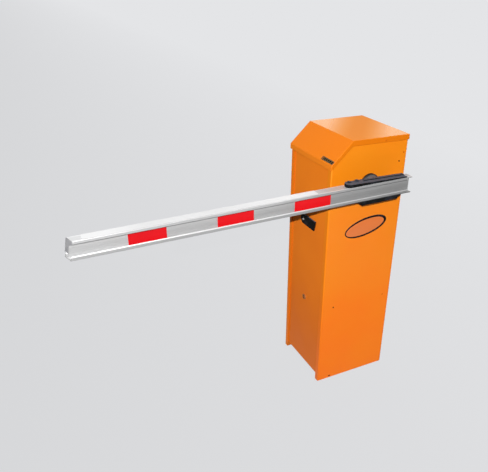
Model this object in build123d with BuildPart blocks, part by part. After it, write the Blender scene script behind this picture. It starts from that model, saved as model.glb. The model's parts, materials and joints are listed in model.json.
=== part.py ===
from build123d import *
import os
from math import atan2, cos, hypot, sin

# A boom barrier: a folded sheet steel cabinet with a drive inside, and a short
# aluminium boom held in a clamp on the drive shaft.
# Millimetres. The origin is the middle of the cabinet's footprint on the floor.
# +X runs along the front face, +Y to the back, +Z up. The boom points to -X.

# Cabinet
cabinet_width = 320
cabinet_depth = 282
cabinet_height = 1030
slope_drop = 78
slope_run = 83
top_fall = 6
sheet = 2.5
bend_radius = 4
tray_depth = 20
tray_lip = 15

# Side panels, set back behind the edges of the front and rear trays
side_recess = 5
side_fold = 15
side_sheet = 2
skirt_height = 23
side_top_gap = 0.5

# Lid
lid_overhang = 4
lid_overhang_right = 2
lid_overhang_rear = 6
lid_sheet = 2
lid_lip = 20
lid_bend = 2.5

# Base plate and corner posts
base_side_gap = 10
base_thickness = 8
anchor_edge_x = 30
anchor_edge_y = 41
anchor_slot_width = 14
anchor_slot_length = 30
cable_hole_x = 110
cable_hole_y = 80
post_leg = 30
post_wall = 3
post_headroom = 150

# Drive
shaft_radius = 15
shaft_clearance = 0.05
boom_axis_drop = 166
drive_plate_thickness = 8
drive_plate_height = 330
gearbox_width = 130
gearbox_depth = 80
gearbox_height = 170
gearbox_corner = 12
motor_radius = 48
motor_length = 190
motor_gap = 2
motor_corner = 6
shaft_end_gap = 1
bearing_radius = 45
bearing_thickness = 12
bearing_hole_radius = 30

# Hub and clamps on the shaft
hub_gap = 5
hub_radius = 37
hub_thickness = 10
hub_bevel = 3
boss_radius = 29
boom_offset = 83
clamp_back = 8
upper_clamp_left = 144
upper_clamp_right = 104
upper_clamp_thickness = 11
upper_clamp_end = 4
upper_clamp_round = 17
clamp_rib_left = 66
clamp_rib_width = 12
clamp_rib_height = 3
clamp_rib_setback = 5
lower_clamp_left = 82
lower_clamp_foot_left = 68
lower_clamp_right = 70
lower_clamp_tail = 87
lower_clamp_thickness = 14
lower_clamp_bevel = 6
back_plate_left = 85
back_plate_right = 70

# Boom
boom_left = 1054
boom_right = 127
boom_height = 60
boom_depth = 36
boom_wall = 3
boom_corner = 1
boom_lip_top = 10
boom_lip_top_wall = 2.5
boom_lip_bottom = 13
boom_lip_bottom_wall = 4
root_trim_top = 20
root_trim_bottom = 15
tip_slant_back = 11
tip_slant_down = 12
tip_cap_thickness = 2
tip_cap_height = 44
tip_cap_web_height = 18
tip_cap_plug = 20
tip_cap_fit = 0.3
strip_left = 1026
strip_right = 258
strip_thickness = 0.8
tape_thickness = 0.5
tape_margin = 2
tape_1_left = 897
tape_1_right = 779
tape_2_left = 614
tape_2_right = 489
tape_3_left = 340
tape_3_right = 201

# Side handle, lock and vent
handle_height = 40
handle_thickness = 5
handle_standoff = 3
handle_front = -59
handle_rear = 46
handle_drop = 348
handle_slant = 9
lock_radius = 8
lock_clearance = 0.2
lock_collar_radius = 11
lock_y = 2
lock_z = 336
lock_reach = 4
vent_length = 72
vent_width = 14
vent_thickness = 1.5
vent_front_gap = 2
vent_eave_gap = 4
vent_slots = 6
vent_bar = 3

# Faces that several pieces share
front_face = -cabinet_depth / 2
rear_face = cabinet_depth / 2
half_width = cabinet_width / 2
tray_back = front_face + tray_depth
side_outer = half_width - side_recess
eave_height = cabinet_height - slope_drop
boom_axis_height = cabinet_height - boom_axis_drop
handle_z = cabinet_height - handle_drop

# Roof line: up the slope from the eave to the ridge, then a slight fall to the right
lid_left = -half_width - lid_overhang
lid_right = half_width + lid_overhang_right
lid_front = front_face - lid_overhang
lid_rear = rear_face + lid_overhang_rear
ridge_x = lid_left + slope_run
slope_rate = slope_drop / slope_run
fall_rate = top_fall / (lid_right - ridge_x)
slope_angle = atan2(slope_drop, slope_run)
slope_length = hypot(slope_drop, slope_run)


def roof_height(x):
    """Height of the lid's outer surface above the floor at x."""
    if x < ridge_x:
        return cabinet_height - (ridge_x - x) * slope_rate
    return cabinet_height - (x - ridge_x) * fall_rate


# The underside of the lid's sheet. Measured upright, the sheet is thicker on the slope.
slope_thickness = lid_sheet / cos(slope_angle)
top_thickness = lid_sheet * hypot(1, fall_rate)
inner_ridge_x = ridge_x - (slope_thickness - top_thickness) / (slope_rate + fall_rate)
inner_ridge_z = roof_height(inner_ridge_x) - slope_thickness


def roof_underside(x):
    """Height of the lid's inner surface above the floor at x."""
    if x < inner_ridge_x:
        return roof_height(x) - slope_thickness
    return roof_height(x) - top_thickness


def body_outline(inset):
    """The five-sided front outline under the lid, every side moved in by inset."""
    with BuildSketch() as outline:
        with BuildLine():
            Polyline(
                (-half_width, 0),
                (half_width, 0),
                (half_width, roof_underside(half_width)),
                (inner_ridge_x, inner_ridge_z),
                (-half_width, roof_underside(-half_width)),
                close=True,
            )
        make_face()
        if inset:
            offset(amount=-inset, kind=Kind.INTERSECTION, mode=Mode.REPLACE)
    return outline.sketch


def tray(outer_y, towards):
    """A panel folded on all five edges, with a lip turned in at the back of each fold."""
    with BuildPart() as panel:
        with BuildSketch(Plane.XZ.offset(-outer_y)):
            add(body_outline(0))
        extrude(amount=-towards * tray_depth)
        outer_edges = panel.edges().filter_by_position(Axis.Y, outer_y, outer_y)
        fillet(outer_edges.filter_by(Axis.Z), bend_radius)
        with BuildSketch(Plane.XZ.offset(-(outer_y + towards * sheet))):
            add(body_outline(sheet))
        extrude(amount=-towards * (tray_depth - 2 * sheet), mode=Mode.SUBTRACT)
        with BuildSketch(Plane.XZ.offset(-(outer_y + towards * (tray_depth - sheet)))):
            add(body_outline(tray_lip))
        extrude(amount=-towards * sheet, mode=Mode.SUBTRACT)
    return panel.part


# Front panel, with the hole that the drive shaft comes out of
with BuildPart() as front_panel:
    add(tray(front_face, 1))
    with BuildSketch(Plane.XZ.offset(-front_face)):
        with Locations((0, boom_axis_height)):
            Circle(bearing_hole_radius)
    extrude(amount=-sheet, mode=Mode.SUBTRACT)

with BuildPart() as rear_panel:
    add(tray(rear_face, -1))


def side_panel(side, top):
    """A side sheet folded in on all four edges; side is -1 on the left and 1 on the right."""
    span = cabinet_depth - 2 * tray_depth
    height = top - skirt_height
    middle = skirt_height + height / 2
    outer = Plane(origin=(side * side_outer, 0, middle), x_dir=(0, 1, 0), z_dir=(-side, 0, 0))
    with BuildPart() as panel:
        with BuildSketch(outer):
            Rectangle(span, height)
        extrude(amount=side_fold)
        with BuildSketch(outer.offset(side_sheet)):
            Rectangle(span - 2 * side_sheet, height - 2 * side_sheet)
        extrude(amount=side_fold - side_sheet, mode=Mode.SUBTRACT)
    return panel.part


# Left side panel, with the round hole of the lock
left_top = roof_underside(-side_outer) - side_top_gap
with BuildPart() as left_side_panel:
    add(side_panel(-1, left_top))
    with BuildSketch(Plane.YZ.offset(-side_outer)):
        with Locations((lock_y, lock_z)):
            Circle(lock_radius + lock_clearance)
    extrude(amount=side_sheet, mode=Mode.SUBTRACT)

with BuildPart() as right_side_panel:
    add(side_panel(1, roof_underside(side_outer) - side_top_gap))

# Lid: one folded sheet with a lip on all four sides that follows the roof line
vent_middle_y = lid_front + vent_front_gap + vent_length / 2
vent_middle_s = slope_length - vent_eave_gap - vent_width / 2
slope_plane = Plane(
    origin=(
        ridge_x - vent_middle_s * cos(slope_angle),
        vent_middle_y,
        cabinet_height - vent_middle_s * sin(slope_angle),
    ),
    x_dir=(0, 1, 0),
    z_dir=(-sin(slope_angle), 0, cos(slope_angle)),
)
with BuildPart() as lid:
    with BuildSketch(Plane.XZ.offset(-lid_front)):
        with BuildLine():
            Polyline(
                (lid_left, eave_height),
                (ridge_x, cabinet_height),
                (lid_right, roof_height(lid_right)),
                (lid_right, roof_height(lid_right) - lid_lip),
                (ridge_x, cabinet_height - lid_lip),
                (lid_left, eave_height - lid_lip),
                close=True,
            )
        make_face()
    extrude(amount=lid_front - lid_rear)
    lip_ends = lid.faces().filter_by(lambda face: face.normal_at().Z < -0.5)
    fillet(lid.edges() - lip_ends.edges(), lid_bend)
    inner_left = lid_left + lid_sheet
    inner_right = lid_right - lid_sheet
    with BuildSketch(Plane.XZ.offset(-lid_front - lid_sheet)):
        with BuildLine():
            Polyline(
                (inner_left, roof_underside(inner_left)),
                (inner_ridge_x, inner_ridge_z),
                (inner_right, roof_underside(inner_right)),
                (inner_right, eave_height - 2 * lid_lip),
                (inner_left, eave_height - 2 * lid_lip),
                close=True,
            )
        make_face()
    extrude(amount=lid_front - lid_rear + 2 * lid_sheet, mode=Mode.SUBTRACT)
    with BuildSketch(slope_plane):
        Rectangle(vent_length - 2 * vent_bar, vent_width - 2 * vent_bar)
    extrude(amount=-2 * lid_sheet, mode=Mode.SUBTRACT)

# Vent: a small black grille on the sloping face
slot_pitch = (vent_length - vent_bar) / vent_slots
with BuildPart() as vent_grille:
    with BuildSketch(slope_plane):
        Rectangle(vent_length, vent_width)
        with GridLocations(slot_pitch, 1, vent_slots, 1):
            Rectangle(slot_pitch - vent_bar, vent_width - 2 * vent_bar, mode=Mode.SUBTRACT)
    extrude(amount=vent_thickness)

# Base plate on the floor, between the two trays
base_width = 2 * (side_outer - side_fold - base_side_gap)
base_depth = cabinet_depth - 2 * tray_depth
anchor_spacing_x = base_width - 2 * anchor_edge_x
anchor_spacing_y = base_depth - 2 * anchor_edge_y
with BuildPart() as base_plate:
    with BuildSketch():
        Rectangle(base_width, base_depth)
        Rectangle(cable_hole_x, cable_hole_y, mode=Mode.SUBTRACT)
        with GridLocations(anchor_spacing_x, anchor_spacing_y, 2, 2):
            SlotOverall(anchor_slot_length, anchor_slot_width, mode=Mode.SUBTRACT)
    extrude(amount=base_thickness)

# Four angle posts stand on the base plate in the corners
post_corner_x = base_width / 2
post_corner_y = base_depth / 2
post_height = cabinet_height - base_thickness - post_headroom


def post(side_x, side_y):
    """An angle with its outer corner at a corner of the base plate."""
    align_x = Align.MAX if side_x > 0 else Align.MIN
    align_y = Align.MAX if side_y > 0 else Align.MIN
    with BuildPart() as angle:
        with BuildSketch(Plane.XY.offset(base_thickness)):
            with Locations((side_x * post_corner_x, side_y * post_corner_y)):
                Rectangle(post_leg, post_leg, align=(align_x, align_y))
            with Locations((side_x * (post_corner_x - post_wall), side_y * (post_corner_y - post_wall))):
                Rectangle(post_leg, post_leg, align=(align_x, align_y), mode=Mode.SUBTRACT)
        extrude(amount=post_height)
    return angle.part


post_places = {
    "post_front_left": (-1, -1),
    "post_front_right": (1, -1),
    "post_rear_left": (-1, 1),
    "post_rear_right": (1, 1),
}

# Drive plate across the two front posts, with the gearbox and motor on it
drive_plate_front = tray_back + post_wall
drive_plate_back = drive_plate_front + drive_plate_thickness
drive_plate_half = post_corner_x - post_wall
with BuildPart() as drive_plate:
    with BuildSketch(Plane.XZ.offset(-drive_plate_front)):
        with Locations((0, boom_axis_height - drive_plate_height / 2 + gearbox_height / 2)):
            Rectangle(2 * drive_plate_half, drive_plate_height)
        with Locations((0, boom_axis_height)):
            Circle(bearing_hole_radius, mode=Mode.SUBTRACT)
    extrude(amount=-drive_plate_thickness)

shaft_bore_radius = shaft_radius + shaft_clearance
gearbox_front = drive_plate_back
gearbox_back = gearbox_front + gearbox_depth
shaft_inner_end = gearbox_back - gearbox_depth / 4
with BuildPart() as gearbox:
    with BuildSketch(Plane.XZ.offset(-gearbox_front)):
        with Locations((0, boom_axis_height)):
            RectangleRounded(gearbox_width, gearbox_height, gearbox_corner)
    extrude(amount=-gearbox_depth)
    with BuildSketch(Plane.XZ.offset(-gearbox_front)):
        with Locations((0, boom_axis_height)):
            Circle(shaft_bore_radius)
    extrude(amount=-(shaft_inner_end - gearbox_front + shaft_end_gap), mode=Mode.SUBTRACT)

gearbox_bottom = boom_axis_height - gearbox_height / 2
motor_y = gearbox_front + motor_radius + motor_gap
with BuildPart() as motor:
    with BuildSketch(Plane.XY.offset(gearbox_bottom)):
        with Locations((0, motor_y)):
            Circle(motor_radius)
    extrude(amount=-motor_length)
    fillet(motor.faces().sort_by(Axis.Z)[0].edges(), motor_corner)

# Flange bearing on the inner face of the front panel
bearing_front = front_face + sheet
with BuildPart() as shaft_bearing:
    with BuildSketch(Plane.XZ.offset(-bearing_front)):
        with Locations((0, boom_axis_height)):
            Circle(bearing_radius)
            Circle(shaft_bore_radius, mode=Mode.SUBTRACT)
    extrude(amount=-bearing_thickness)

# Lock barrel in the left side panel, with its collar on the outside
with BuildPart() as release_lock:
    with BuildSketch(Plane.YZ.offset(-side_outer)):
        with Locations((lock_y, lock_z)):
            Circle(lock_collar_radius)
    extrude(amount=-lock_reach)
    with BuildSketch(Plane.YZ.offset(-side_outer)):
        with Locations((lock_y, lock_z)):
            Circle(lock_radius)
    extrude(amount=side_fold)

# Handle: a flat bar along the left side panel, rounded at the rear
handle_face = -side_outer - handle_standoff
with BuildPart() as side_handle:
    with BuildSketch(Plane.YZ.offset(handle_face)):
        with BuildLine():
            low = handle_z - handle_height / 2
            high = handle_z + handle_height / 2
            rear_centre = handle_rear - handle_height / 2
            Line((rear_centre, high), (handle_front, high))
            Line((handle_front, high), (handle_front + handle_slant, low))
            Line((handle_front + handle_slant, low), (rear_centre, low))
            ThreePointArc((rear_centre, low), (handle_rear, handle_z), (rear_centre, high))
        make_face()
    extrude(amount=-handle_thickness)
    with BuildSketch(Plane.YZ.offset(-side_outer)):
        with Locations((rear_centre, handle_z), (handle_front + handle_height / 2, handle_z)):
            Circle(handle_height / 4)
    extrude(amount=-handle_standoff)

# Shaft and hub
hub_back = front_face - hub_gap
hub_front = hub_back - hub_thickness
boom_front = front_face - boom_offset
boom_back = boom_front + boom_depth
clamp_plate_back = boom_back + clamp_back
with BuildPart() as drive_shaft:
    with BuildSketch(Plane.XZ.offset(-hub_back)):
        with Locations((0, boom_axis_height)):
            Circle(shaft_radius)
    extrude(amount=-(shaft_inner_end - hub_back))

with BuildPart() as hub:
    with BuildSketch(Plane.XZ.offset(-hub_back)):
        with Locations((0, boom_axis_height)):
            Circle(hub_radius)
    extrude(amount=hub_thickness)
    chamfer(hub.faces().sort_by(Axis.Y)[0].edges(), hub_bevel)
    with BuildSketch(Plane.XZ.offset(-hub_front)):
        with Locations((0, boom_axis_height)):
            Circle(boss_radius)
    extrude(amount=hub_front - clamp_plate_back)

# Back plate and the two clamps that grip the boom
boom_top = boom_axis_height + boom_height / 2
boom_bottom = boom_axis_height - boom_height / 2
with BuildPart() as back_plate:
    with BuildSketch(Plane.XZ.offset(-clamp_plate_back)):
        with Locations(((back_plate_right - back_plate_left) / 2, boom_axis_height)):
            Rectangle(back_plate_left + back_plate_right, boom_height)
    extrude(amount=clamp_back)

# The upper clamp is thickest at its rounded left end and thins towards the boom's root.
# A low rib runs along the thinning part.
clamp_taper_length = upper_clamp_left - upper_clamp_round + upper_clamp_right
clamp_taper = (upper_clamp_thickness - upper_clamp_end) / clamp_taper_length
rib_foot = upper_clamp_end + (clamp_rib_left + upper_clamp_right) * clamp_taper
with BuildPart() as upper_clamp:
    with BuildSketch(Plane.XZ.offset(-boom_back)):
        with BuildLine():
            Polyline(
                (-upper_clamp_left, boom_top),
                (upper_clamp_right, boom_top),
                (upper_clamp_right, boom_top + upper_clamp_end),
                (-upper_clamp_left + upper_clamp_round, boom_top + upper_clamp_thickness),
                (-upper_clamp_left, boom_top + upper_clamp_thickness),
                close=True,
            )
        make_face()
    extrude(amount=boom_depth)
    fillet(upper_clamp.edges().filter_by(Axis.Z).group_by(Axis.X)[0], upper_clamp_round)
    with BuildSketch(Plane.XZ.offset(-boom_back + clamp_rib_setback)):
        with BuildLine():
            Polyline(
                (-clamp_rib_left, boom_top),
                (upper_clamp_right, boom_top),
                (upper_clamp_right, boom_top + upper_clamp_end + clamp_rib_height),
                (-clamp_rib_left, boom_top + rib_foot + clamp_rib_height),
                close=True,
            )
        make_face()
    extrude(amount=clamp_rib_width)

# The lower clamp ends in a thin tail on the right. Its foot reaches back under the back plate.
clamp_under = boom_bottom - lower_clamp_thickness
with BuildPart() as lower_clamp:
    with BuildSketch(Plane.XZ.offset(-boom_back)):
        with BuildLine():
            Polyline(
                (-lower_clamp_left, boom_bottom),
                (-lower_clamp_left, clamp_under),
                (lower_clamp_right, clamp_under),
                (lower_clamp_right + lower_clamp_bevel, boom_bottom - lower_clamp_bevel),
                (lower_clamp_tail, boom_bottom),
                close=True,
            )
        make_face()
    extrude(amount=boom_depth)
    with BuildSketch(Plane.XZ.offset(-clamp_plate_back)):
        with Locations((lower_clamp_right, clamp_under)):
            foot_length = lower_clamp_foot_left + lower_clamp_right
            Rectangle(foot_length, lower_clamp_thickness, align=(Align.MAX, Align.MIN))
    extrude(amount=clamp_back)

# Boom: an I-section with short round-edged lips on its flanges. Its tip is cut on a slant,
# further out at the back and at the bottom.
boom_length = boom_left + boom_right
tip_reach = tip_slant_back + tip_slant_down + tip_cap_thickness
web_y = (boom_front + boom_back) / 2
tip_plane = Plane(
    origin=(-boom_left, boom_front, boom_top),
    z_dir=(-1, -tip_slant_back / boom_depth, tip_slant_down / boom_height),
)
lips = [
    (boom_top - boom_lip_top / 2, boom_lip_top, boom_lip_top_wall),
    (boom_bottom + boom_lip_bottom / 2, boom_lip_bottom, boom_lip_bottom_wall),
]
with BuildPart() as boom_profile:
    with BuildSketch(Plane.YZ.offset(-boom_left - tip_reach)) as section:
        with Locations((web_y, boom_axis_height)):
            Rectangle(boom_wall, boom_height)
        with Locations((web_y, boom_top - boom_wall / 2), (web_y, boom_bottom + boom_wall / 2)):
            Rectangle(boom_depth, boom_wall)
        fillet(section.vertices().group_by(Axis.Y)[0], boom_corner)
        fillet(section.vertices().group_by(Axis.Y)[-1], boom_corner)
        for lip_z, lip_height, lip_wall in lips:
            with Locations((boom_front + lip_wall / 2, lip_z), (boom_back - lip_wall / 2, lip_z)):
                SlotOverall(lip_height, lip_wall, rotation=90)
    extrude(amount=boom_length + tip_reach)
    split(bisect_by=tip_plane, keep=Keep.BOTTOM)
    with BuildSketch(Plane.XZ.offset(-boom_front)):
        with Locations((boom_right, boom_top - boom_wall)):
            Rectangle(root_trim_top, boom_lip_top - boom_wall, align=(Align.MAX, Align.MAX))
    extrude(amount=-boom_lip_top_wall, mode=Mode.SUBTRACT)
    with BuildSketch(Plane.XZ.offset(-boom_front)):
        with Locations((boom_right, boom_bottom + boom_wall)):
            Rectangle(root_trim_bottom, boom_lip_bottom - boom_wall, align=(Align.MAX, Align.MIN))
    extrude(amount=-boom_lip_bottom_wall, mode=Mode.SUBTRACT)

# End cap: a thin plate on the slanted tip that covers the top of the back, and a plug in
# the channel behind the web
web_rear = web_y + boom_wall / 2
plug_depth = (boom_back - boom_lip_top_wall) - web_rear - 2 * tip_cap_fit
plug_top = boom_top - boom_wall - tip_cap_fit
plug_height = plug_top - (boom_top - tip_cap_height)
with BuildPart() as tip_plug:
    with BuildSketch(Plane.YZ.offset(-boom_left - tip_reach)):
        with Locations((web_rear + tip_cap_fit + plug_depth / 2, plug_top - plug_height / 2)):
            Rectangle(plug_depth, plug_height)
    extrude(amount=tip_reach + tip_cap_plug)
    split(bisect_by=tip_plane, keep=Keep.BOTTOM)

with BuildPart() as tip_cap:
    with BuildSketch(Plane.YZ.offset(-boom_left - tip_reach)):
        with BuildLine():
            Polyline(
                (boom_front, boom_top),
                (boom_back, boom_top),
                (boom_back, boom_top - tip_cap_height),
                (web_y, boom_top - tip_cap_web_height),
                (boom_front, boom_top - boom_lip_top),
                close=True,
            )
        make_face()
    extrude(amount=tip_reach)
    split(bisect_by=tip_plane.offset(tip_cap_thickness), keep=Keep.BOTTOM)
    split(bisect_by=tip_plane, keep=Keep.TOP)
    add(tip_plug.part)

# Red bands on both sides of the web, and the white strip on the top flange
web_front = web_y - boom_wall / 2
tape_height = boom_height - 2 * boom_wall - 2 * tape_margin
tape_bands = [
    (tape_1_left, tape_1_right),
    (tape_2_left, tape_2_right),
    (tape_3_left, tape_3_right),
]


def tape(face_y, towards, band):
    """One band of tape on a face of the web."""
    left, right = band
    with BuildPart() as strip:
        with BuildSketch(Plane.XZ.offset(-face_y)):
            with Locations((-(left + right) / 2, boom_axis_height)):
                Rectangle(left - right, tape_height)
        extrude(amount=-towards * tape_thickness)
    return strip.part


with BuildPart() as top_strip:
    with BuildSketch(Plane.XY.offset(boom_top)):
        with Locations((-(strip_left + strip_right) / 2, web_y)):
            Rectangle(strip_left - strip_right, boom_depth)
    extrude(amount=strip_thickness)

pieces = {
    "front_panel": front_panel.part,
    "rear_panel": rear_panel.part,
    "left_side_panel": left_side_panel.part,
    "right_side_panel": right_side_panel.part,
    "lid": lid.part,
    "vent_grille": vent_grille.part,
    "base_plate": base_plate.part,
    "drive_plate": drive_plate.part,
    "gearbox": gearbox.part,
    "motor": motor.part,
    "shaft_bearing": shaft_bearing.part,
    "release_lock": release_lock.part,
    "side_handle": side_handle.part,
    "drive_shaft": drive_shaft.part,
    "hub": hub.part,
    "back_plate": back_plate.part,
    "upper_clamp": upper_clamp.part,
    "lower_clamp": lower_clamp.part,
    "boom_profile": boom_profile.part,
    "tip_cap": tip_cap.part,
    "top_strip": top_strip.part,
}
for name, (side_x, side_y) in post_places.items():
    pieces[name] = post(side_x, side_y)
for number, band in enumerate(tape_bands, start=1):
    pieces[f"front_tape_{number}"] = tape(web_front, -1, band)
    pieces[f"rear_tape_{number}"] = tape(web_rear, 1, band)

os.makedirs("parts", exist_ok=True)
for name, piece in pieces.items():
    piece.label = name
    export_step(piece, f"parts/{name}.step")
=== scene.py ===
import json
import math

import bmesh
import bpy
from mathutils import Matrix, Vector


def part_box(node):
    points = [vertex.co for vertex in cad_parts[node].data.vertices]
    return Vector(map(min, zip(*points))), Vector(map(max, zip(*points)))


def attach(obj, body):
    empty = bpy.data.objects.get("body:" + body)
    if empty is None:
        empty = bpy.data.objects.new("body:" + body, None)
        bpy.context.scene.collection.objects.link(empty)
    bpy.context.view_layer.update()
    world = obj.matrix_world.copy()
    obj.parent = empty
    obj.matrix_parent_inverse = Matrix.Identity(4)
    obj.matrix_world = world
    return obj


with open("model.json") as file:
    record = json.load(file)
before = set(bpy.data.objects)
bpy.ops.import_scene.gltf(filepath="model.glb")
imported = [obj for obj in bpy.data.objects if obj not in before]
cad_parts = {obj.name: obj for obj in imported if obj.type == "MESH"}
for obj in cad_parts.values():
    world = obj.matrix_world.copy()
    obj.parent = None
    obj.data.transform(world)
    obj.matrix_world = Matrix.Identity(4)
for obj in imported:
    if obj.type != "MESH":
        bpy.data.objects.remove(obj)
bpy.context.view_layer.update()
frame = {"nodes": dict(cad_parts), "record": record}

# The boom barrier's looks: paint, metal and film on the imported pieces, the small fasteners,
# the lock's face, the pad under the vent and a bare oval plate. Metres, in the frame of the
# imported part.

# Camera at the photograph's angle
CAMERA_PLACE = (-1.1926, -1.6735, 1.6014)
CAMERA_TURN = (63.281, 0.342, -24.681)
CAMERA_LENS = 41.24
CAMERA_REACH = 200
SENSOR_WIDTH = 36

# Lamps. The key's travel is given per metre that it goes back.
KEY_TARGET = (-0.10, -0.15, 0.85)
KEY_TRAVEL = (0.78, 1.0, -0.585)
KEY_DISTANCE = 3.6
KEY_POWER = 1250
KEY_RADIUS = 0.03
FILL_PLACE = (0.45, -0.95, 0.15)
FILL_TARGET = (0.0, -0.14, 0.10)
FILL_SIZE = 0.5
FILL_POWER = 1.6
BACK_PLACE = (2.6, 2.3, 0.30)
BACK_TARGET = (0.0, 0.0, 0.82)
BACK_SIZE = 0.5
BACK_SPREAD = 44
BACK_POWER = 8
PANEL_PLACE = (1.9, 3.3, 2.15)
PANEL_TARGET = (0, 0, 0.95)
PANEL_SIZE = (3.2, 1.1)
PANEL_POWER = 11.5
TOP_PLACE = (0.1, 0.7, 3.4)
TOP_TARGET = (0, 0, 1)
TOP_SIZE = 1.4
TOP_POWER = 26

# The sky's strength at the horizon and overhead, and as the camera and reflections show it
SKY_COLOR = (0.97, 0.98, 1.0)
SKY_LOW = 0.025
SKY_HIGH = 0.16
SKY_SEEN = 0.74

# The floor. FLOOR_SHARE of what the camera sees of it is a glow of its own, in FLOOR_TINT.
FLOOR_SIZE = 60
FLOOR_COLOR = (0.12, 0.12, 0.122)
FLOOR_TINT = (1, 1.008, 1.03)
FLOOR_SHARE = 0.86
# How bright that glow is along X, to the camera and in reflections
FLOOR_SEEN = [(-3.0, 0.72), (2.6, 0.90)]
FLOOR_MIRRORED = [
    (-0.6, 0.08),
    (-0.32, 0.14),
    (-0.24, 0.62),
    (0.0, 0.60),
    (0.45, 0.31),
    (0.8, 0.31),
    (1.2, 0.04),
]

# Screws in the front and rear panels, by their place along X and their height
SCREW_PLACES = {
    "left": (-0.109, 0.355),
    "right": (0.127, 0.353),
    "upper": (0.129, 0.926),
    "corner": (0.146, 0.957),
}
PAINTED_SCREWS = ("right", "corner")
SCREW_RADIUS = 0.0031
SCREW_HEIGHT = 0.0016
SCREW_SINK = 0.0003
SCREW_SIDES = 24

# The screw in the lid's front lip, the black dot of painted shade for the drain notch at the front
# panel's foot, the handle's bolt
LID_SCREW_X = 0.057
LID_SCREW_DROP = 0.016
DRAIN_PLACE = (-0.103, 0.009)
DRAIN_RADIUS = 0.0035
DRAIN_HEIGHT = 0.001
HANDLE_BOLT_PLACE = (0.026, 0.682)
HANDLE_BOLT_RADIUS = 0.0055
HANDLE_BOLT_HEIGHT = 0.0026

# The lock's face: rings of (radius, height) of its core and of each of its two pins
LOCK_CORE = [(0.0072, -0.0004), (0.0072, 0.0006), (0.0064, 0.0010), (0.0056, 0.0006), (0.0050, 0.0006)]
LOCK_CORE_SIDES = 32
LOCK_PIN = [(0.0036, 0.0002), (0.0036, 0.0009), (0.0030, 0.0012), (0.0024, 0.0009)]
LOCK_PIN_SIDES = 24
LOCK_PIN_SPACING = 0.0094
LOCK_PIN_SHIFT = -0.0016

# Oval plate on the front panel: its middle's X and height, its rim, and its slightly domed face
PLATE_PLACE = (0.009, 0.686)
PLATE_LENGTH = 0.186
PLATE_HEIGHT = 0.074
PLATE_TILT = 10
PLATE_RIM = 0.0075
# The black rim's inner edge is moved along the plate, so the rim is thicker on one side: a painted
# shadow
PLATE_SHADOW_SHIFT = -0.0034
PLATE_RISE = 0.0022
PLATE_ROUND = 0.0008
PLATE_OVERLAP = 0.0002
PLATE_CROWN = (0.004, 0.012)
PLATE_STEPS = 96

# Bolts on the upper clamp, whose top is CLAMP_RISE above the boom's
CLAMP_RISE = 0.011
CLAMP_BOLTS_X = (-0.124, -0.092)
CLAMP_BOLT_Y = -0.197
BOLT_RADIUS = 0.0062
BOLT_HEIGHT = 0.0026
WASHER_RADIUS = 0.0085
WASHER_HEIGHT = 0.0012
WASHER_SIDES = 28

# A near-black pleated pad under the vent's slots: painted shade for the dark behind them. The depths
# under the grille's middle are those of its folds' tops, of the valleys between them and of its flat
# back.
PAD_SIZE = (0.065, 0.0076)
PAD_PLEATS = 11
PAD_DEPTHS = (0.0012, 0.0022, 0.0028)
VENT_SLOPE = 43.22

# The two colours that each finish runs between
# The cabinet's paint goes darker and redder low down: painted shade, where less light falls
ORANGE_COLORS = ((0.96, 0.190, 0.006), (0.92, 0.268, 0.007))
# The rear paint's darker colour lies on its forward-facing edges: painted shade
REAR_COLORS = ((0.64, 0.150, 0.008), (0.94, 0.230, 0.007))
# The side panels' copy of the paint, redder and darker low down: painted shade for the light on the
# sides
SIDE_COLORS = ((0.84, 0.185, 0.014), (0.99, 0.255, 0.014))
# The black paint's pale end, on faces that look up, is dust and painted sheen
BLACK_COLORS = ((0.008, 0.008, 0.008), (0.084, 0.100, 0.130))
ZINC_COLORS = ((0.46, 0.47, 0.48), (0.60, 0.61, 0.62))
CAST_COLORS = ((0.05, 0.05, 0.053), (0.075, 0.075, 0.08))
# The hub's face colour, then its dark rim: painted shade on its edge and side
HUB_COLORS = ((0.155, 0.150, 0.155), (0.012, 0.010, 0.009))
RED_COLORS = ((0.62, 0.007, 0.012), (0.76, 0.009, 0.014))
VENT_COLORS = ((0.105, 0.070, 0.032), (0.165, 0.115, 0.058))
GREY_COLORS = ((0.26, 0.26, 0.27), (0.34, 0.34, 0.35))
# The vent pad is near black: painted shade behind the slots
FELT_COLORS = ((0.006, 0.005, 0.004), (0.012, 0.009, 0.006))
BRASS_COLORS = ((0.40, 0.160, 0.050), (0.50, 0.200, 0.066))
BROWN_SCREW_COLORS = ((0.10, 0.022, 0.004), (0.17, 0.036, 0.005))
ORANGE_SCREW_COLORS = ((0.58, 0.14, 0.004), (0.66, 0.16, 0.005))
ENAMEL_COLORS = ((0.77, 0.186, 0.035), (0.79, 0.194, 0.037))

# The heights that the orange paints run between, how blotchy they are, and their orange peel
# Over these heights the paints darken low down as painted shade
PAINT_HEIGHTS = (0.0, 1.05)
PAINT_BLOTCH = 0.08
PEEL_SCALE = 420.0
PEEL_HEIGHT = 0.00005
LID_PEEL_HEIGHT = 0.00003

# Where a finish changes, by one coordinate of the surface's normal, and how blotchy the dust and
# painted sheen are
# The rear panel's forward-facing edges are darker through this: painted shade
REAR_SHADE_FACING = (-0.9, -0.6)
DUST_AND_SHEEN_FACING = (0.75, 0.98)
DUST_AND_SHEEN_BLOTCH = 0.08
LID_TOP_FACING = (0.88, 0.98)
LID_SKIRT_FACING = (-0.97, -0.85)

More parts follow.
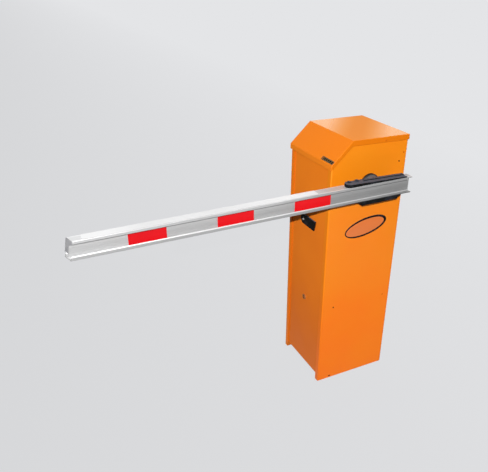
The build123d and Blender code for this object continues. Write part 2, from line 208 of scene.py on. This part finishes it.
# The lid's colours, and its sheen: the direction across its dull band, the band's middle along
# it, the distances from there at which the top begins to gloss and is glossiest, and how rough
# the folded sides, the band and the corners are
# Each face of the lid has its own colour for the light it gets: painted light and shade, the top's
# paler corners a painted sheen
LID_SLOPE = (0.80, 0.196, 0.004)
LID_SKIRT = (0.99, 0.262, 0.014)
LID_BAND = (0.88, 0.276, 0.031)
LID_CORNER = (0.94, 0.335, 0.012)
LID_SHEEN_ACROSS = (0.770, -0.638, 0)
LID_SHEEN_MIDDLE = 0.031
LID_SHEEN_REACH = (0.02, 0.12)
LID_ROUGH = 0.38
LID_BAND_ROUGH = 0.66
LID_CORNER_ROUGH = 0.18

# The boom's grey along X. Half of the share of it that the web and the lips show, along Z.
# Painted light: the grey falls towards the clamps as painted shade, and the shares hold painted
# highlights on the lips' top edges and painted shade under the top lips
BOOM_GREYS = [(-0.95, 0.55), (-0.727, 0.50), (-0.39, 0.47), (-0.165, 0.38), (0.05, 0.335)]
WEB_SHARES = [
    (0.839, 0.60),
    (0.847, 0.55),
    (0.853, 0.50),
    (0.862, 0.51),
    (0.8735, 0.59),
    (0.8755, 0.50),
    (0.8925, 0.50),
    (0.8938, 0.70),
]
LIP_SHARES = [
    (0.8405, 0.46),
    (0.8436, 0.52),
    (0.8448, 0.97),
    (0.8480, 0.97),
    (0.860, 0.55),
    (0.8840, 0.41),
    (0.8862, 0.61),
    (0.8925, 0.60),
    (0.8938, 0.86),
]
# The same shares at the root. They take over from the first X of ROOT_REACH to the second.
ROOT_REACH = (-0.28, -0.10)
# At the root the painted shade under the top lip is paler, and the lips' undersides are dark with
# painted shade
ROOT_WEB_SHARES = [
    (0.839, 0.60),
    (0.847, 0.55),
    (0.853, 0.50),
    (0.862, 0.51),
    (0.8725, 0.58),
    (0.8745, 0.64),
]
ROOT_LIP_SHARES = [
    (0.8340, 0.12),
    (0.8362, 0.14),
    (0.8370, 0.48),
    (0.8436, 0.54),
    (0.8448, 0.99),
    (0.8480, 0.99),
    (0.860, 0.55),
    (0.8840, 0.46),
    (0.8862, 0.64),
    (0.8925, 0.66),
    (0.8938, 0.95),
]
# The boom's middle along Y, how far from it the lips' faces lie, and how the drawn lines vary
BOOM_MIDDLE_Y = -0.206
LIP_REACH = 0.0135
LIP_BLUR = 0.0005
LINE_SHARES = (0.92, 1.07)

# Where the red film changes along X, the white strip's white along X, and the share of that
# white across the strip, along Y
TAPE_REACH = (-0.90, -0.26)
STRIP_WHITES = [(-0.95, 0.90), (-0.83, 0.79), (-0.74, 0.80), (-0.60, 0.765), (-0.30, 0.82)]
STRIP_EDGE = [(-0.2240, 0.70), (-0.2222, 0.80), (-0.2198, 1.0)]
STREAK_SHARES = (0.985, 1.015)

# The width of the hub's dark rim of painted shade, and of the blend inside it
HUB_SHADE_RIM = 0.0025

# The radius of the round that each slot's CAD pieces get on their edges
EDGE_ROUND = {
    "orange_steel": 0.0009,
    "boom_aluminium": 0.0005,
    "black_steel": 0.0009,
    "bare_steel": 0.0005,
    "drive_casting": 0.0012,
    "dark_plastic": 0.0005,
    "white_strip": 0.0003,
    "red_tape": 0.00015,
    "lock_metal": 0.0006,
}
EDGE_ANGLE = 35
WELD_DISTANCE = 1e-6

# Most of a noise's values lie between these two. A finish's two colours stand at them.
NOISE_LOW = 0.3
NOISE_HIGH = 0.7


class Nodes:
    """The emptied node tree of a material or world, with methods that add to it.

    Those below feed return an output. A value that they take is an output too, or else a
    number, a vector or a colour.
    """

    def __init__(self, material_or_world):
        material_or_world.use_nodes = True
        self.tree = material_or_world.node_tree
        self.tree.nodes.clear()
        is_world = isinstance(material_or_world, bpy.types.World)
        output = self.add("ShaderNodeOutputWorld" if is_world else "ShaderNodeOutputMaterial")
        self.shader_socket = output.inputs["Surface"]

    def add(self, kind, **settings):
        """Adds one node and returns the node itself."""
        node = self.tree.nodes.new(kind)
        for key, value in settings.items():
            setattr(node, key, value)
        return node

    def feed(self, socket, value):
        """Links a socket to an output, or sets it to a number, vector or colour."""
        if isinstance(value, bpy.types.NodeSocket):
            self.tree.links.new(value, socket)
        elif socket.type == "RGBA":
            socket.default_value = (*value, 1)
        else:
            socket.default_value = value

    def math(self, operation, *values):
        node = self.add("ShaderNodeMath", operation=operation)
        for socket, value in zip(node.inputs, values):
            self.feed(socket, value)
        return node.outputs["Value"]

    def vector_math(self, operation, *values, result="Vector"):
        node = self.add("ShaderNodeVectorMath", operation=operation)
        for socket, value in zip(node.inputs, values):
            self.feed(socket, value)
        return node.outputs[result]

    def scaled(self, vector, factor):
        node = self.add("ShaderNodeVectorMath", operation="SCALE")
        self.feed(node.inputs[0], vector)
        self.feed(node.inputs["Scale"], factor)
        return node.outputs["Vector"]

    def along(self, axis, vector):
        """One coordinate of a vector."""
        axes = self.add("ShaderNodeSeparateXYZ")
        self.feed(axes.inputs["Vector"], vector)
        return axes.outputs[axis]

    def spread(self, value, low, high, from_low=NOISE_LOW, from_high=NOISE_HIGH):
        """Value mapped onto low to high."""
        node = self.add("ShaderNodeMapRange")
        limits = {"From Min": from_low, "From Max": from_high, "To Min": low, "To Max": high}
        for name, number in limits.items():
            self.feed(node.inputs[name], number)
        self.feed(node.inputs["Value"], value)
        return node.outputs["Result"]

    def steps(self, value, levels, tint=(1, 1, 1)):
        """Grey that goes through each (value, level), or the tint of that brightness."""
        first, last = levels[0][0], levels[-1][0]
        ramp = self.add("ShaderNodeValToRGB")
        stops = ramp.color_ramp.elements
        while len(stops) < len(levels):
            stops.new(0.5)
        for stop, (at, level) in zip(stops, levels):
            stop.position = (at - first) / (last - first)
            stop.color = (*(level * share for share in tint), 1)
        self.feed(ramp.inputs["Fac"], self.spread(value, 0.0, 1.0, first, last))
        return ramp.outputs["Color"]

    def mixed(self, factor, first, second, kind="RGBA"):
        """From first to second with factor: two colours, or two numbers where kind is FLOAT."""
        node = self.add("ShaderNodeMix", data_type=kind)
        for name, value in (("Factor", factor), ("A", first), ("B", second)):
            self.feed(node.inputs[name], value)
        return node.outputs["Result"]

    def mixed_shaders(self, factor, first, second):
        node = self.add("ShaderNodeMixShader")
        for socket, value in zip(node.inputs, (factor, first, second)):
            self.feed(socket, value)
        return node.outputs["Shader"]


class Finish(Nodes):
    """A Principled material, with methods for the textures that drive its sockets."""

    def __init__(self, name, metallic=0.0, coat=0.0, specular=0.5):
        self.material = bpy.data.materials.new(name)
        super().__init__(self.material)
        self.surface = self.add("ShaderNodeBsdfPrincipled")
        self.feed(self.shader_socket, self.surface.outputs["BSDF"])
        self.feed(self.surface.inputs["Metallic"], metallic)
        self.feed(self.surface.inputs["Coat Weight"], coat)
        self.feed(self.surface.inputs["Specular IOR Level"], specular)
        coordinates = self.add("ShaderNodeTexCoord")
        self.place = coordinates.outputs["Object"]
        self.facing = coordinates.outputs["Normal"]

    def noise(self, scale, detail=2.0, stretch=(1, 1, 1)):
        """Noise over the piece; stretch above 1 on an axis packs it closer along that axis."""
        mapping = self.add("ShaderNodeMapping")
        self.feed(mapping.inputs["Scale"], stretch)
        self.feed(mapping.inputs["Vector"], self.place)
        texture = self.add("ShaderNodeTexNoise")
        self.feed(texture.inputs["Scale"], scale)
        self.feed(texture.inputs["Detail"], detail)
        self.feed(texture.inputs["Vector"], mapping.outputs["Vector"])
        return texture.outputs["Fac"]

    def height(self):
        """From NOISE_LOW to NOISE_HIGH over the height of the paint, with some noise in it: painted
        shade low down.
        """
        level = self.spread(self.along("Z", self.place), NOISE_LOW, NOISE_HIGH, *PAINT_HEIGHTS)
        blotches = self.spread(self.noise(4.0), -PAINT_BLOTCH, PAINT_BLOTCH)
        return self.math("ADD", level, blotches)

    def turning(self, axis, reach):
        """From NOISE_LOW to NOISE_HIGH as the normal's coordinate goes through reach."""
        return self.spread(self.along(axis, self.facing), NOISE_LOW, NOISE_HIGH, *reach)

    def color(self, value):
        self.feed(self.surface.inputs["Base Color"], value)

    def color_between(self, value, colors):
        """The base colour runs from the first colour to the second with value."""
        ramp = self.add("ShaderNodeValToRGB")
        for stop, at, color in zip(ramp.color_ramp.elements, (NOISE_LOW, NOISE_HIGH), colors):
            stop.position = at
            stop.color = (*color, 1)
        self.feed(ramp.inputs["Fac"], value)
        self.color(ramp.outputs["Color"])

    def rough(self, value):
        self.feed(self.surface.inputs["Roughness"], value)

    def rough_between(self, value, low, high):
        self.rough(self.spread(value, low, high))

    def bump(self, value, height):
        """A bump of that height in metres."""
        node = self.add("ShaderNodeBump")
        self.feed(node.inputs["Strength"], 1.0)
        self.feed(node.inputs["Distance"], height)
        self.feed(node.inputs["Height"], value)
        self.feed(self.surface.inputs["Normal"], node.outputs["Normal"])


def powder_coat(name, specular, low_rough, high_rough):
    """Powder coat with a fine orange peel. The caller gives it its colour."""
    finish = Finish(name, specular=specular)
    finish.rough_between(finish.noise(9.0, 3.0), low_rough, high_rough)
    finish.bump(finish.noise(PEEL_SCALE), PEEL_HEIGHT)
    return finish


def orange_paint():
    """The powder coat of the cabinet, a little paler towards the top, darker and redder low down:
    painted shade.
    """
    finish = powder_coat("orange_powder_coat", 0.28, 0.34, 0.44)
    finish.color_between(finish.height(), ORANGE_COLORS)
    return finish.material


def rear_paint():
    """The powder coat of the rear panel, darker on the edges that face forwards: painted shade."""
    finish = powder_coat("rear_powder_coat", 0.2, 0.34, 0.44)
    finish.color_between(finish.turning("Y", REAR_SHADE_FACING), REAR_COLORS)
    return finish.material


def side_paint():
    """A copy of the cabinet's powder coat for the side panels, redder and darker low down: painted
    shade set for the light on the sides.
    """
    finish = powder_coat("side_powder_coat", 0.12, 0.36, 0.46)
    finish.color_between(finish.height(), SIDE_COLORS)
    return finish.material


def lid_paint():
    """The same powder coat. It is glossier in two corners of the flat top than between them, and paler
    there as a painted sheen; the slope and the side skirts have colours of their own as painted light
    and shade.
    """
    finish = Finish("lid_powder_coat", specular=0.155)
    across = finish.vector_math("DOT_PRODUCT", finish.place, LID_SHEEN_ACROSS, result="Value")
    distance = finish.math("ABSOLUTE", finish.math("SUBTRACT", across, LID_SHEEN_MIDDLE))
    cornering = finish.spread(distance, 0.0, 1.0, *LID_SHEEN_REACH)
    top_color = finish.mixed(cornering, LID_BAND, LID_CORNER)
    top_rough = finish.spread(distance, LID_BAND_ROUGH, LID_CORNER_ROUGH, *LID_SHEEN_REACH)
    flat = finish.spread(finish.along("Z", finish.facing), 0.0, 1.0, *LID_TOP_FACING)
    skirt = finish.spread(finish.along("X", finish.facing), 1.0, 0.0, *LID_SKIRT_FACING)
    folded = finish.mixed(skirt, LID_SLOPE, LID_SKIRT)
    finish.color(finish.mixed(flat, folded, top_color))
    finish.rough(finish.mixed(flat, LID_ROUGH, top_rough, "FLOAT"))
    finish.bump(finish.noise(PEEL_SCALE), LID_PEEL_HEIGHT)
    return finish.material


def extruded_aluminium():
    """Mill finish with fine lines along the boom. Its grey is painted light: darker towards the clamps
    as painted shade, pale on the upper half of the bottom lips and on the top edges as painted
    highlights, and dark in the corners under the top lips as painted shade."""
    finish = Finish("extruded_aluminium", metallic=0.35, specular=0.35)
    x, y, z = (finish.along(axis, finish.place) for axis in "XYZ")
    root = finish.spread(x, 0.0, 1.0, *ROOT_REACH)
    web = finish.mixed(root, finish.steps(z, WEB_SHARES), finish.steps(z, ROOT_WEB_SHARES))
    lips = finish.mixed(root, finish.steps(z, LIP_SHARES), finish.steps(z, ROOT_LIP_SHARES))
    reach = finish.math("ABSOLUTE", finish.math("SUBTRACT", y, BOOM_MIDDLE_Y))
    on_lip = finish.spread(reach, 0.0, 1.0, LIP_REACH - LIP_BLUR, LIP_REACH)
    share = finish.mixed(on_lip, web, lips)
    shaded = finish.vector_math("MULTIPLY", finish.steps(x, BOOM_GREYS), share)
    lines = finish.noise(60.0, 4.0, stretch=(0.05, 9, 9))
    dull, bright = LINE_SHARES
    # Twice, because the web and lip shares are halves
    finish.color(finish.scaled(shaded, finish.spread(lines, 2 * dull, 2 * bright)))
    finish.rough_between(lines, 0.36, 0.50)
    finish.bump(lines, 0.00004)
    return finish.material


def black_paint():
    """Black paint, paler bluish grey on the faces that look up: dust and a painted sheen."""
    finish = Finish("black_paint", specular=0.08)
    blotches = finish.spread(finish.noise(60.0, 4.0), -DUST_AND_SHEEN_BLOTCH, DUST_AND_SHEEN_BLOTCH)
    dust_and_sheen = finish.math("ADD", finish.turning("Z", DUST_AND_SHEEN_FACING), blotches)
    finish.color_between(dust_and_sheen, BLACK_COLORS)
    finish.rough_between(finish.noise(40.0, 3.0), 0.44, 0.58)
    finish.bump(finish.noise(500.0), 0.00005)
    return finish.material


def zinc_plate():
    """Zinc plated steel with faint clouds."""
    finish = Finish("zinc_plate", metallic=1.0)
    finish.color_between(finish.noise(25.0, 3.0), ZINC_COLORS)
    finish.rough_between(finish.noise(60.0, 3.0), 0.34, 0.52)
    finish.bump(finish.noise(300.0), 0.00004)
    return finish.material


def cast_metal():
    """The grainy skin of the drive's castings."""
    finish = Finish("cast_metal", metallic=0.3)
    finish.color_between(finish.noise(30.0, 4.0), CAST_COLORS)
    finish.rough_between(finish.noise(90.0, 3.0), 0.5, 0.7)
    finish.bump(finish.noise(240.0, 4.0), 0.00025)
    return finish.material


def hub_metal():
    """Cast metal with a paler face inside a dark rim of painted shade."""
    finish = Finish("hub_metal", metallic=0.2)
    hub_low, hub_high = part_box("hub")
    outwards = finish.vector_math("SUBTRACT", finish.place, (hub_low + hub_high) / 2)
    flat = finish.vector_math("MULTIPLY", outwards, (1, 0, 1))
    radius = finish.vector_math("LENGTH", flat, result="Value")
    outer = (hub_high.z - hub_low.z) / 2
    rim = finish.spread(radius, NOISE_LOW, NOISE_HIGH, outer - 2 * HUB_SHADE_RIM, outer - HUB_SHADE_RIM)
    finish.color_between(rim, HUB_COLORS)
    finish.rough_between(finish.noise(90.0, 3.0), 0.45, 0.65)
    finish.bump(finish.noise(240.0, 4.0), 0.0001)
    return finish.material


def red_film():
    """Red film, a little darker towards the tip of the boom."""
    finish = Finish("red_film", specular=0.22)
    rootward = finish.spread(finish.along("X", finish.place), NOISE_LOW, NOISE_HIGH, *TAPE_REACH)
    finish.color_between(rootward, RED_COLORS)
    finish.rough_between(finish.noise(30.0, 3.0), 0.36, 0.50)
    finish.bump(finish.noise(160.0, stretch=(0.3, 1, 1)), 0.00004)
    return finish.material


def white_film():
    """White film, a little darker in the middle of the boom and along its front edge."""
    finish = Finish("white_film", coat=0.2)
    whites = finish.steps(finish.along("X", finish.place), STRIP_WHITES)
    edge = finish.steps(finish.along("Y", finish.place), STRIP_EDGE)
    streaks = finish.noise(6.0, 3.0, stretch=(0.4, 3, 3))
    shaded = finish.vector_math("MULTIPLY", whites, edge)
    finish.color(finish.scaled(shaded, finish.spread(streaks, *STREAK_SHARES)))
    finish.rough_between(finish.noise(20.0, 3.0), 0.28, 0.38)
    finish.bump(finish.noise(120.0, stretch=(0.2, 1, 1)), 0.00003)
    return finish.material


def plastic(name, colors, specular):
    """Plastic or felt with a fine grain."""
    finish = Finish(name, specular=specular)
    finish.color_between(finish.noise(30.0), colors)
    finish.rough_between(finish.noise(80.0), 0.42, 0.58)
    finish.bump(finish.noise(900.0, 3.0), 0.00006)
    return finish.material


def plated_brass():
    """The lock's dull plating."""
    finish = Finish("plated_lock", metallic=0.2, specular=0.2)
    finish.color_between(finish.noise(120.0, 3.0), BRASS_COLORS)
    finish.rough_between(finish.noise(300.0, 3.0), 0.24, 0.42)
    finish.bump(finish.noise(700.0), 0.00003)
    return finish.material


def screw_metal(name, colors):
    """Small screws and bolts, bare, gone dark or painted over."""
    finish = Finish(name, specular=0.1)
    finish.color_between(finish.noise(300.0, 3.0), colors)
    finish.rough_between(finish.noise(400.0, 3.0), 0.42, 0.60)
    finish.bump(finish.noise(900.0), 0.00003)
    return finish.material


def plate_enamel():
    """The oval plate's even enamel."""
    finish = Finish("plate_enamel", coat=0.2)
    finish.color_between(finish.noise(5.0), ENAMEL_COLORS)
    finish.rough_between(finish.noise(8.0), 0.28, 0.34)
    finish.bump(finish.noise(600.0), 0.00002)
    return finish.material


MATERIALS = {
    "orange_steel": orange_paint(),
    "boom_aluminium": extruded_aluminium(),
    "black_steel": black_paint(),
    "bare_steel": zinc_plate(),
    "drive_casting": cast_metal(),
    "red_tape": red_film(),
    "white_strip": white_film(),
    "dark_plastic": plastic("dark_plastic", VENT_COLORS, specular=0.1),
    "lock_metal": plated_brass(),
}
PLATE_ENAMEL = plate_enamel()
BROWN_STEEL = screw_metal("brown_steel", BROWN_SCREW_COLORS)
PAINTED_STEEL = screw_metal("painted_steel", ORANGE_SCREW_COLORS)
PALE_STEEL = screw_metal("pale_steel", GREY_COLORS)
# Pieces whose finish differs from that of their slot
# The side panels' own copy of the paint carries painted shade for the light on them
SIDE_PAINT = side_paint()
OWN_FINISH = {
    "hub": hub_metal(),
    "lid": lid_paint(),
    "rear_panel": rear_paint(),
    "left_side_panel": SIDE_PAINT,
    "right_side_panel": SIDE_PAINT,
    "tip_cap": plastic("grey_plastic", GREY_COLORS, specular=0.3),
}
# Near-black felt for the vent pad: painted shade
SHADE_FELT = plastic("felt", FELT_COLORS, specular=0.05)


def soften(cad_piece, radius):
    """Rounds a CAD piece's edges. The weld joins the points that its flat faces keep apart."""
    weld = cad_piece.modifiers.new("weld", "WELD")
    weld.merge_threshold = WELD_DISTANCE
    bevel = cad_piece.modifiers.new("round", "BEVEL")
    bevel.width = radius
    bevel.segments = 2
    bevel.limit_method = "ANGLE"
    bevel.angle_limit = math.radians(EDGE_ANGLE)
    bevel.harden_normals = True


for subpart in frame["record"]["subparts"]:
    slot_name = subpart["material_slot"]
    packed_piece = frame["nodes"][subpart["node"]]
    packed_piece.data.materials[0] = OWN_FINISH.get(subpart["node"], MATERIALS[slot_name])
    soften(packed_piece, EDGE_ROUND[slot_name])


def new_object(name, data):
    """An object with that data, in the scene."""
    made = bpy.data.objects.new(name, data)
    bpy.context.scene.collection.objects.link(made)
    return made


def mesh_object(name, mesh, material):
    """A finished bmesh becomes an object in the scene."""
    data = bpy.data.meshes.new(name)
    mesh.to_mesh(data)
    mesh.free()
    data.materials.append(material)
    return new_object(name, data)


def piece(name, mesh, body, slot, material=None):
    """A finished bmesh becomes a piece that rides on a body."""
    made = mesh_object(name, mesh, material or MATERIALS[slot])
    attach(made, body)


def add_walls(mesh, rings):
    """Faces between each ring of points and the next."""
    for lower, upper in zip(rings, rings[1:]):
        for step in range(len(lower)):
            after = (step + 1) % len(lower)
            mesh.faces.new((lower[step], lower[after], upper[after], upper[step]))


def turned(profile, sides, place, outwards):
    """A closed form from rings of (radius, height) about the outward axis at place."""
    mesh = bmesh.new()
    rings = []
    for radius, height in profile:
        ring = []
        for step in range(sides):
            angle = 2 * math.pi * step / sides
            ring.append(mesh.verts.new((radius * math.cos(angle), radius * math.sin(angle), height)))
        rings.append(ring)
    add_walls(mesh, rings)
    mesh.faces.new(rings[-1])
    mesh.faces.new(reversed(rings[0]))
    rotation = Vector(outwards).to_track_quat("Z", "Y").to_matrix().to_4x4()
    mesh.transform(Matrix.Translation(place) @ rotation)
    bmesh.ops.recalc_face_normals(mesh, faces=mesh.faces)
    return mesh


def screw_profile(radius, height):
    """A low domed head with a round socket in it. It starts a little inside the sheet."""
    socket = radius * 0.45
    return [
        (radius, -SCREW_SINK),
        (radius, height * 0.35),
        (radius * 0.92, height * 0.75),
        (radius * 0.70, height),
        (socket, height),
        (socket, height * 0.25),
        (socket * 0.3, height * 0.15),
    ]


def screw(name, place, outwards, material, radius=SCREW_RADIUS, height=SCREW_HEIGHT):
    mesh = turned(screw_profile(radius, height), SCREW_SIDES, place, outwards)
    piece(name, mesh, "cabinet", "black_steel", material)


front_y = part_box("front_panel")[0].y
rear_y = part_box("rear_panel")[1].y
for label, (x, z) in SCREW_PLACES.items():
    screw_finish = PAINTED_STEEL if label in PAINTED_SCREWS else BROWN_STEEL
    screw(f"front_screw_{label}", (x, front_y, z), (0, -1, 0), screw_finish)
    screw(f"rear_screw_{label}", (x, rear_y, z), (0, 1, 0), screw_finish)

# A black dome where the drain notch at the foot is dark: painted shade
drain_x, drain_z = DRAIN_PLACE
drain = (drain_x, front_y, drain_z)
screw("drain_shade_dot", drain, (0, -1, 0), MATERIALS["black_steel"], DRAIN_RADIUS, DRAIN_HEIGHT)

lid_low, lid_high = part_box("lid")
lid_screw_z = lid_high.z - LID_SCREW_DROP
screw("lid_screw", (LID_SCREW_X, lid_low.y, lid_screw_z), (0, -1, 0), PAINTED_STEEL)


def oval_ring(half_length, half_height, depth, shift):
    """Points of an oval at that depth in front of the panel, moved along the plate by shift."""
    tilt = math.radians(PLATE_TILT)
    points = []
    for step in range(PLATE_STEPS):
        angle = 2 * math.pi * step / PLATE_STEPS
        along, up = half_length * math.cos(angle) + shift, half_height * math.sin(angle)
        x = PLATE_PLACE[0] + along * math.cos(tilt) - up * math.sin(tilt)
        z = PLATE_PLACE[1] + along * math.sin(tilt) + up * math.cos(tilt)
        points.append((x, front_y - depth, z))
    return points


def oval(name, rings, slot, material=None):
    """A piece from oval rings of (inset, depth, shift), closed at the last one."""
    mesh = bmesh.new()
    made = []
    for inset, depth, shift in rings:
        points = oval_ring(PLATE_LENGTH / 2 - inset, PLATE_HEIGHT / 2 - inset, depth, shift)
        made.append([mesh.verts.new(point) for point in points])
    add_walls(mesh, made)
    mesh.faces.new(made[-1])
    bmesh.ops.recalc_face_normals(mesh, faces=mesh.faces)
    piece(name, mesh, "cabinet", slot, material)


oval(
    "plate_rim",
    [
        (0, 0, 0),
        (0, PLATE_RISE * 0.6, 0),
        (PLATE_ROUND, PLATE_RISE, 0),
        (PLATE_RIM - PLATE_ROUND, PLATE_RISE, PLATE_SHADOW_SHIFT),
        (PLATE_RIM, PLATE_RISE * 0.7, PLATE_SHADOW_SHIFT),
        (PLATE_RIM, PLATE_RISE * 0.45, PLATE_SHADOW_SHIFT),
    ],
    "black_steel",
)
oval(
    "plate_face",
    [
        (PLATE_RIM - PLATE_OVERLAP, PLATE_RISE * 0.5, PLATE_SHADOW_SHIFT),
        (PLATE_RIM + PLATE_CROWN[0], PLATE_RISE * 0.62, PLATE_SHADOW_SHIFT),
        (PLATE_RIM + PLATE_CROWN[1], PLATE_RISE * 0.7, PLATE_SHADOW_SHIFT),
    ],
    "orange_steel",
    PLATE_ENAMEL,
)


def hex_bolt(name, place, outwards, body, slot):
    """A washer with a hexagonal head on it."""
    washer = [
        (WASHER_RADIUS, 0),
        (WASHER_RADIUS, WASHER_HEIGHT * 0.8),
        (WASHER_RADIUS * 0.95, WASHER_HEIGHT),
        (BOLT_RADIUS * 0.8, WASHER_HEIGHT),
    ]
    head = [
        (BOLT_RADIUS, 0),
        (BOLT_RADIUS, BOLT_HEIGHT * 0.85),
        (BOLT_RADIUS * 0.88, BOLT_HEIGHT),
    ]
    piece(f"{name}_washer", turned(washer, WASHER_SIDES, place, outwards), body, slot)
    lifted = Vector(place) + Vector(outwards) * WASHER_HEIGHT
    piece(f"{name}_head", turned(head, 6, lifted, outwards), body, slot)


clamp_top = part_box("boom_profile")[1].z + CLAMP_RISE
for number, x in enumerate(CLAMP_BOLTS_X, start=1):
    hex_bolt(f"clamp_bolt_{number}", (x, CLAMP_BOLT_Y, clamp_top), (0, 0, 1), "boom", "black_steel")

handle_face_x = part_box("side_handle")[0].x
handle_bolt = (handle_face_x, *HANDLE_BOLT_PLACE)
screw("handle_bolt", handle_bolt, (-1, 0, 0), PALE_STEEL, HANDLE_BOLT_RADIUS, HANDLE_BOLT_HEIGHT)

lock_low, lock_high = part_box("release_lock")
lock_middle = (lock_low + lock_high) / 2
lock_face = (lock_low.x, lock_middle.y, lock_middle.z)
piece("lock_core", turned(LOCK_CORE, LOCK_CORE_SIDES, lock_face, (-1, 0, 0)), "cabinet", "lock_metal")
for label, lift in (("upper", LOCK_PIN_SPACING / 2), ("lower", -LOCK_PIN_SPACING / 2)):
    pin_place = (lock_low.x, lock_middle.y + LOCK_PIN_SHIFT, lock_middle.z + lift)
    pin = turned(LOCK_PIN, LOCK_PIN_SIDES, pin_place, (-1, 0, 0))
    piece(f"lock_pin_{label}", pin, "cabinet", "black_steel")


def vent_filter():
    """A near-black pleated pad in the lid's opening, under the slots of the vent: painted shade."""
    vent_low, vent_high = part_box("vent_grille")
    middle = (vent_low + vent_high) / 2
    slope = math.radians(VENT_SLOPE)
    outwards = Vector((-math.sin(slope), 0, math.cos(slope)))
    uphill = Vector((math.cos(slope), 0, math.sin(slope)))
    length, width = PAD_SIZE
    ridge, valley, bottom = PAD_DEPTHS
    mesh = bmesh.new()
    rows = []
    for step in range(2 * PAD_PLEATS + 1):
        along = Vector((0, length * (step / (2 * PAD_PLEATS) - 0.5), 0))
        top = ridge if step % 2 else valley
        corners = ((-width / 2, top), (width / 2, top), (width / 2, bottom), (-width / 2, bottom))
        row = []
        for up, down in corners:
            row.append(mesh.verts.new(middle + along + uphill * up - outwards * down))
        rows.append(row)
    add_walls(mesh, rows)
    mesh.faces.new(rows[0])
    mesh.faces.new(reversed(rows[-1]))
    bmesh.ops.recalc_face_normals(mesh, faces=mesh.faces)
    piece("vent_filter", mesh, "cabinet", "dark_plastic", SHADE_FELT)


vent_filter()


def camera():
    made = new_object("camera", bpy.data.cameras.new("camera"))
    made.location = CAMERA_PLACE
    made.rotation_euler = [math.radians(angle) for angle in CAMERA_TURN]
    made.data.sensor_width = SENSOR_WIDTH
    made.data.lens = CAMERA_LENS
    made.data.clip_end = CAMERA_REACH
    bpy.context.scene.camera = made


def world_light():
    """A dim horizon and a brighter sky above. The camera and reflections show it pale."""
    world = bpy.data.worlds.new("studio")
    bpy.context.scene.world = world
    nodes = Nodes(world)
    upward = nodes.along("Z", nodes.add("ShaderNodeTexCoord").outputs["Generated"])
    level = nodes.spread(upward, SKY_LOW, SKY_HIGH, 0.0, 1.0)
    path = nodes.add("ShaderNodeLightPath")
    seen = nodes.math("MAXIMUM", path.outputs["Is Camera Ray"], path.outputs["Is Glossy Ray"])
    background = nodes.add("ShaderNodeBackground")
    nodes.feed(background.inputs["Color"], SKY_COLOR)
    nodes.feed(background.inputs["Strength"], nodes.mixed(seen, level, SKY_SEEN, "FLOAT"))
    nodes.feed(nodes.shader_socket, background.outputs["Background"])


def lamp(name, kind, place, towards, power, mirrored=True):
    """A lamp that the camera doesn't see. Reflections show it where mirrored is true."""
    made = new_object(name, bpy.data.lights.new(name, kind))
    made.data.energy = power
    made.location = place
    made.rotation_euler = Vector(towards).to_track_quat("-Z", "Y").to_euler()
    made.visible_camera = False
    made.visible_glossy = mirrored
    return made.data


def flat_lamp(name, place, target, power, mirrored=True):
    """A flat lamp at place that faces target."""
    return lamp(name, "AREA", place, Vector(target) - Vector(place), power, mirrored)


def key_light():
    """A small bright lamp on the left in front, high up."""
    travel = Vector(KEY_TRAVEL)
    place = Vector(KEY_TARGET) - travel.normalized() * KEY_DISTANCE * travel.length
    key = lamp("key", "POINT", place, travel, KEY_POWER)
    key.shadow_soft_size = KEY_RADIUS


def fill_light():
    """A weak panel low in front that evens out the foot of the front panel."""
    fill = flat_lamp("fill", FILL_PLACE, FILL_TARGET, FILL_POWER, mirrored=False)
    fill.size = FILL_SIZE


def back_light():
    """A low narrow beam from behind on the right for the faces that the key doesn't reach. It
    tilts upwards, so that it passes over the floor."""
    back = flat_lamp("back", BACK_PLACE, BACK_TARGET, BACK_POWER, mirrored=False)
    back.size = BACK_SIZE
    back.spread = math.radians(BACK_SPREAD)


def top_light():
    """A soft panel above for the lid's top and slope."""
    top = flat_lamp("top", TOP_PLACE, TOP_TARGET, TOP_POWER)
    top.size = TOP_SIZE


def back_panel():
    """A soft panel behind the object that the tops of the lid, boom and clamps reflect."""
    panel = flat_lamp("panel", PANEL_PLACE, PANEL_TARGET, PANEL_POWER)
    panel.shape = "RECTANGLE"
    panel.size, panel.size_y = PANEL_SIZE


def floor():
    """A pale floor. Its own light evens out what the camera sees, and the rest keeps the shadow."""
    material = bpy.data.materials.new("floor")
    nodes = Nodes(material)
    x = nodes.along("X", nodes.add("ShaderNodeTexCoord").outputs["Object"])
    path = nodes.add("ShaderNodeLightPath")
    diffuse = nodes.add("ShaderNodeBsdfDiffuse")
    nodes.feed(diffuse.inputs["Color"], FLOOR_COLOR)

    def glow(levels):
        """Emission that goes through each (x, brightness)."""
        emission = nodes.add("ShaderNodeEmission")
        nodes.feed(emission.inputs["Color"], nodes.steps(x, levels, FLOOR_TINT))
        return emission.outputs["Emission"]

    share = nodes.math("MULTIPLY", path.outputs["Is Camera Ray"], FLOOR_SHARE)
    seen = nodes.mixed_shaders(share, diffuse.outputs["BSDF"], glow(FLOOR_SEEN))
    mirrored = path.outputs["Is Glossy Ray"]
    nodes.feed(nodes.shader_socket, nodes.mixed_shaders(mirrored, seen, glow(FLOOR_MIRRORED)))

    mesh = bmesh.new()
    bmesh.ops.create_grid(mesh, x_segments=1, y_segments=1, size=FLOOR_SIZE / 2)
    made = mesh_object("floor", mesh, material)


camera()
world_light()
key_light()
fill_light()
top_light()
back_light()
back_panel()
floor()
bpy.context.scene.view_settings.view_transform = "Standard"
